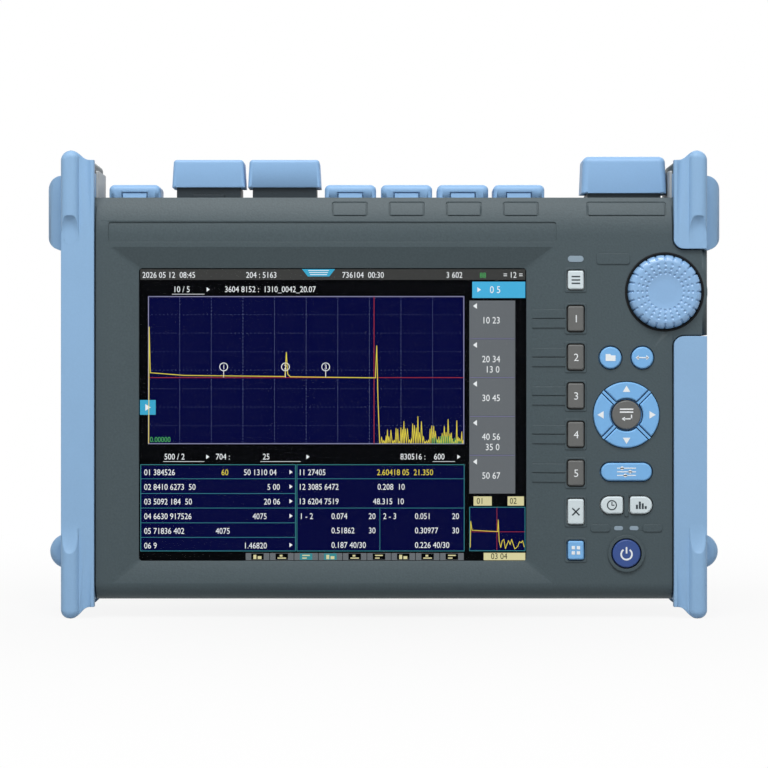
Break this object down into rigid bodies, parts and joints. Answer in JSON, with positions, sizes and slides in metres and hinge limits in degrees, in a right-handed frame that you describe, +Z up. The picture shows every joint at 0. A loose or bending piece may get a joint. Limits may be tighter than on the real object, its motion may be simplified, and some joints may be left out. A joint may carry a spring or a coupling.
{
  "type": "optical time domain reflectometer",
  "caption": "Portable fibre test instrument with a wide screen, keypad and rotary knob, rubber side guards, hinged port covers along the top and a folding stand.",
  "frame": {"origin": "centre of the footprint, on the plane of the guards' feet", "axes": "+X to the right seen from the front, +Y from the front face to the back, +Z up"},
  "size_m": [0.3034, 0.08, 0.2078],
  "materials": {
    "case_plastic": "fine textured moulding",
    "guard_rubber": "soft matt elastomer",
    "touch_glass": "clear, low gloss",
    "black_foam": "closed cell foam",
    "display_black": "dark panel",
    "sheet_metal": "zinc plated",
    "screw_steel": "blackened",
    "circuit_board": "solder mask",
    "dome_rubber": "silicone",
    "lens_plastic": "frosted",
    "deck_plastic": "fine textured moulding",
    "module_plastic": "fine textured moulding",
    "connector_black": "moulded",
    "connector_metal": "nickel plated",
    "battery_shrink": "shrink wrap",
    "cover_plastic": "satin moulding",
    "key_blue_plastic": "satin moulding",
    "key_grey_plastic": "satin moulding",
    "key_light_plastic": "satin moulding",
    "key_navy_plastic": "satin moulding",
    "knob_plastic": "satin moulding"
  },
  "bodies": {
    "root": {"front_case": "case_plastic", "rear_case": "case_plastic", "left_guard": "guard_rubber", "right_guard": "guard_rubber", "touch_panel": "touch_glass", "display_gasket": "black_foam", "lcd_module": "display_black", "chassis_plate": "sheet_metal", "chassis_screws": "screw_steel", "main_board": "circuit_board", "key_board": "circuit_board", "key_dome_sheet": "dome_rubber", "indicator_lenses": "lens_plastic", "arrow_key_divider": "key_blue_plastic", "encoder_body": "sheet_metal", "port_deck": "deck_plastic", "io_board": "circuit_board", "dc_jack": "connector_black", "usb_sockets": "connector_metal", "network_socket": "connector_metal", "otdr_module": "module_plastic", "option_module": "module_plastic", "optical_adapters": "connector_metal", "cover_hinge_pins": "screw_steel", "battery_pack": "battery_shrink", "battery_cover": "case_plastic", "battery_cover_screws": "screw_steel", "case_screws": "screw_steel", "stand_pin": "screw_steel"},
    "key_file": {"key_file": "key_blue_plastic"},
    "key_scale": {"key_scale": "key_blue_plastic"},
    "key_setup": {"key_setup": "key_blue_plastic"},
    "key_utility": {"key_utility": "key_blue_plastic"},
    "key_up": {"key_up": "key_blue_plastic"},
    "key_down": {"key_down": "key_blue_plastic"},
    "key_left": {"key_left": "key_blue_plastic"},
    "key_right": {"key_right": "key_blue_plastic"},
    "key_f1": {"key_f1": "key_grey_plastic"},
    "key_f2": {"key_f2": "key_grey_plastic"},
    "key_f3": {"key_f3": "key_grey_plastic"},
    "key_f4": {"key_f4": "key_grey_plastic"},
    "key_f5": {"key_f5": "key_grey_plastic"},
    "key_enter": {"key_enter": "key_grey_plastic"},
    "key_menu": {"key_menu": "key_light_plastic"},
    "key_escape": {"key_escape": "key_light_plastic"},
    "key_realtime": {"key_realtime": "key_light_plastic"},
    "key_average": {"key_average": "key_light_plastic"},
    "key_power": {"key_power": "key_navy_plastic"},
    "cover_supply": {"cover_supply": "cover_plastic"},
    "cover_usb_1": {"cover_usb_1": "cover_plastic"},
    "cover_usb_2": {"cover_usb_2": "cover_plastic"},
    "cover_usb_3": {"cover_usb_3": "cover_plastic"},
    "cover_network": {"cover_network": "cover_plastic"},
    "cover_optical_1": {"cover_optical_1": "cover_plastic"},
    "cover_optical_2": {"cover_optical_2": "cover_plastic"},
    "cover_option": {"cover_option": "cover_plastic"},
    "knob_plunger": {"encoder_plunger": "connector_black"},
    "knob": {"knob": "knob_plastic", "encoder_shaft": "screw_steel"},
    "stand": {"stand": "case_plastic"}
  },
  "joints": [
    {"name": "key_file_press", "type": "slide", "parent": "root", "child": "key_file", "axis": [0, 1, 0], "range_m": [0, 0.001], "stiffness_N_per_m": 800, "springref_m": -0.0005, "deforming": ["key_dome_sheet"]},
    {"name": "key_scale_press", "type": "slide", "parent": "root", "child": "key_scale", "axis": [0, 1, 0], "range_m": [0, 0.001], "stiffness_N_per_m": 800, "springref_m": -0.0005, "deforming": ["key_dome_sheet"]},
    {"name": "key_setup_press", "type": "slide", "parent": "root", "child": "key_setup", "axis": [0, 1, 0], "range_m": [0, 0.001], "stiffness_N_per_m": 800, "springref_m": -0.0005, "deforming": ["key_dome_sheet"]},
    {"name": "key_utility_press", "type": "slide", "parent": "root", "child": "key_utility", "axis": [0, 1, 0], "range_m": [0, 0.001], "stiffness_N_per_m": 800, "springref_m": -0.0005, "deforming": ["key_dome_sheet"]},
    {"name": "key_up_press", "type": "slide", "parent": "root", "child": "key_up", "axis": [0, 1, 0], "range_m": [0, 0.001], "stiffness_N_per_m": 800, "springref_m": -0.0005, "deforming": ["key_dome_sheet"]},
    {"name": "key_down_press", "type": "slide", "parent": "root", "child": "key_down", "axis": [0, 1, 0], "range_m": [0, 0.001], "stiffness_N_per_m": 800, "springref_m": -0.0005, "deforming": ["key_dome_sheet"]},
    {"name": "key_left_press", "type": "slide", "parent": "root", "child": "key_left", "axis": [0, 1, 0], "range_m": [0, 0.001], "stiffness_N_per_m": 800, "springref_m": -0.0005, "deforming": ["key_dome_sheet"]},
    {"name": "key_right_press", "type": "slide", "parent": "root", "child": "key_right", "axis": [0, 1, 0], "range_m": [0, 0.001], "stiffness_N_per_m": 800, "springref_m": -0.0005, "deforming": ["key_dome_sheet"]},
    {"name": "key_f1_press", "type": "slide", "parent": "root", "child": "key_f1", "axis": [0, 1, 0], "range_m": [0, 0.001], "stiffness_N_per_m": 800, "springref_m": -0.0005, "deforming": ["key_dome_sheet"]},
    {"name": "key_f2_press", "type": "slide", "parent": "root", "child": "key_f2", "axis": [0, 1, 0], "range_m": [0, 0.001], "stiffness_N_per_m": 800, "springref_m": -0.0005, "deforming": ["key_dome_sheet"]},
    {"name": "key_f3_press", "type": "slide", "parent": "root", "child": "key_f3", "axis": [0, 1, 0], "range_m": [0, 0.001], "stiffness_N_per_m": 800, "springref_m": -0.0005, "deforming": ["key_dome_sheet"]},
    {"name": "key_f4_press", "type": "slide", "parent": "root", "child": "key_f4", "axis": [0, 1, 0], "range_m": [0, 0.001], "stiffness_N_per_m": 800, "springref_m": -0.0005, "deforming": ["key_dome_sheet"]},
    {"name": "key_f5_press", "type": "slide", "parent": "root", "child": "key_f5", "axis": [0, 1, 0], "range_m": [0, 0.001], "stiffness_N_per_m": 800, "springref_m": -0.0005, "deforming": ["key_dome_sheet"]},
    {"name": "key_enter_press", "type": "slide", "parent": "root", "child": "key_enter", "axis": [0, 1, 0], "range_m": [0, 0.001], "stiffness_N_per_m": 800, "springref_m": -0.0005, "deforming": ["key_dome_sheet"]},
    {"name": "key_menu_press", "type": "slide", "parent": "root", "child": "key_menu", "axis": [0, 1, 0], "range_m": [0, 0.001], "stiffness_N_per_m": 800, "springref_m": -0.0005, "deforming": ["key_dome_sheet"]},
    {"name": "key_escape_press", "type": "slide", "parent": "root", "child": "key_escape", "axis": [0, 1, 0], "range_m": [0, 0.001], "stiffness_N_per_m": 800, "springref_m": -0.0005, "deforming": ["key_dome_sheet"]},
    {"name": "key_realtime_press", "type": "slide", "parent": "root", "child": "key_realtime", "axis": [0, 1, 0], "range_m": [0, 0.001], "stiffness_N_per_m": 800, "springref_m": -0.0005, "deforming": ["key_dome_sheet"]},
    {"name": "key_average_press", "type": "slide", "parent": "root", "child": "key_average", "axis": [0, 1, 0], "range_m": [0, 0.001], "stiffness_N_per_m": 800, "springref_m": -0.0005, "deforming": ["key_dome_sheet"]},
    {"name": "key_power_press", "type": "slide", "parent": "root", "child": "key_power", "axis": [0, 1, 0], "range_m": [0, 0.001], "stiffness_N_per_m": 800, "springref_m": -0.0005, "deforming": ["key_dome_sheet"]},
    {"name": "cover_supply_hinge", "type": "hinge", "parent": "root", "child": "cover_supply", "pos_m": [-0.11269, 0.0012, 0.1892], "axis": [-1, 0, 0], "range_deg": [0, 110]},
    {"name": "cover_usb_1_hinge", "type": "hinge", "parent": "root", "child": "cover_usb_1", "pos_m": [-0.01521, 0.0012, 0.1892], "axis": [-1, 0, 0], "range_deg": [0, 110]},
    {"name": "cover_usb_2_hinge", "type": "hinge", "parent": "root", "child": "cover_usb_2", "pos_m": [0.01019, 0.0012, 0.1892], "axis": [-1, 0, 0], "range_deg": [0, 110]},
    {"name": "cover_usb_3_hinge", "type": "hinge", "parent": "root", "child": "cover_usb_3", "pos_m": [0.03559, 0.0012, 0.1892], "axis": [-1, 0, 0], "range_deg": [0, 110]},
    {"name": "cover_network_hinge", "type": "hinge", "parent": "root", "child": "cover_network", "pos_m": [0.06099, 0.0012, 0.1892], "axis": [-1, 0, 0], "range_deg": [0, 110]},
    {"name": "cover_optical_1_hinge", "type": "hinge", "parent": "root", "child": "cover_optical_1", "pos_m": [-0.0793, 0.0012, 0.1952], "axis": [-1, 0, 0], "range_deg": [0, 100]},
    {"name": "cover_optical_2_hinge", "type": "hinge", "parent": "root", "child": "cover_optical_2", "pos_m": [-0.045, 0.0012, 0.1952], "axis": [-1, 0, 0], "range_deg": [0, 100]},
    {"name": "cover_option_hinge", "type": "hinge", "parent": "root", "child": "cover_option", "pos_m": [0.10819, -0.0028, 0.1923], "axis": [-1, 0, 0], "range_deg": [0, 100]},
    {"name": "knob_press", "type": "slide", "parent": "root", "child": "knob_plunger", "axis": [0, 1, 0], "range_m": [0, 0.0006], "stiffness_N_per_m": 1500, "springref_m": -0.0005},
    {"name": "knob_turn", "type": "hinge", "parent": "knob_plunger", "child": "knob", "pos_m": [0.1247, 0, 0.145], "axis": [0, 1, 0], "continuous": true},
    {"name": "stand_hinge", "type": "hinge", "parent": "root", "child": "stand", "pos_m": [0, 0.0334, 0.16], "axis": [1, 0, 0], "range_deg": [0, 40]}
  ]
}
